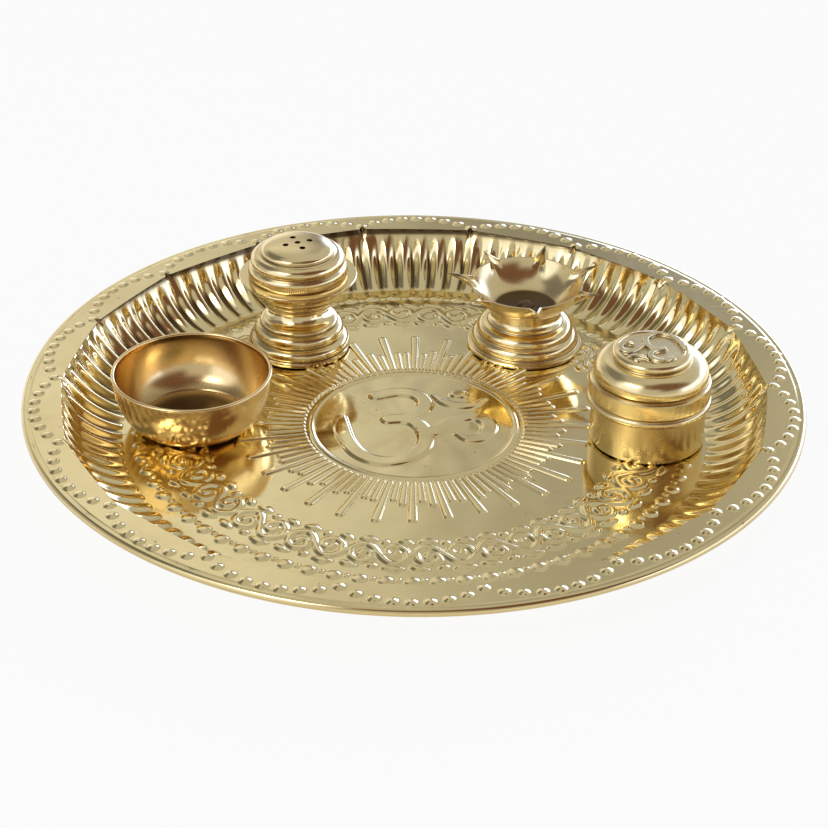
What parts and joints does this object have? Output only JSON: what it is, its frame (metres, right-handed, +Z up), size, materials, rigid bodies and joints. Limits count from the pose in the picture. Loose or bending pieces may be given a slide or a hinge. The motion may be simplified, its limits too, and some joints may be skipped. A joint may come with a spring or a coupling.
{
  "type": "puja thali",
  "caption": "Round brass puja thali with a fluted wall and beaded rim, carrying a small bowl, an incense holder, an oil lamp and a lidded kumkum box that lift off it.",
  "frame": {"origin": "under the middle of the plate, on the surface it stands on", "axes": "+Z up, -Y towards the side from which the emblem in the plate reads upright, +X to the right of it"},
  "size_m": [0.305, 0.305, 0.0492],
  "materials": {
    "thali_plate": "polished",
    "katori_bowl": "polished",
    "incense_foot": "polished",
    "incense_cup": "polished",
    "incense_rivet": "polished",
    "incense_cap": "polished",
    "diya_foot": "polished",
    "diya_bowl": "polished",
    "diya_rivet": "polished",
    "kumkum_base": "polished",
    "kumkum_lid": "polished"
  },
  "bodies": {
    "thali": {"thali_plate": "thali_plate"},
    "katori": {"katori_bowl": "katori_bowl"},
    "incense_holder": {"incense_foot": "incense_foot", "incense_cup": "incense_cup", "incense_rivet": "incense_rivet"},
    "incense_cap": {"incense_cap": "incense_cap"},
    "diya": {"diya_foot": "diya_foot", "diya_bowl": "diya_bowl", "diya_rivet": "diya_rivet"},
    "kumkum_box": {"kumkum_base": "kumkum_base"},
    "kumkum_lid": {"kumkum_lid": "kumkum_lid"}
  },
  "joints": [
    {"name": "katori_lift", "type": "slide", "parent": "thali", "child": "katori", "axis": [0, 0, 1], "range_m": [0, 0.08]},
    {"name": "incense_holder_lift", "type": "slide", "parent": "thali", "child": "incense_holder", "axis": [0, 0, 1], "range_m": [0, 0.08]},
    {"name": "incense_cap_lift", "type": "slide", "parent": "incense_holder", "child": "incense_cap", "axis": [0, 0, 1], "range_m": [0, 0.04]},
    {"name": "diya_lift", "type": "slide", "parent": "thali", "child": "diya", "axis": [0, 0, 1], "range_m": [0, 0.08]},
    {"name": "kumkum_box_lift", "type": "slide", "parent": "thali", "child": "kumkum_box", "axis": [0, 0, 1], "range_m": [0, 0.08]},
    {"name": "kumkum_lid_lift", "type": "slide", "parent": "kumkum_box", "child": "kumkum_lid", "axis": [0, 0, 1], "range_m": [0, 0.04]}
  ]
}
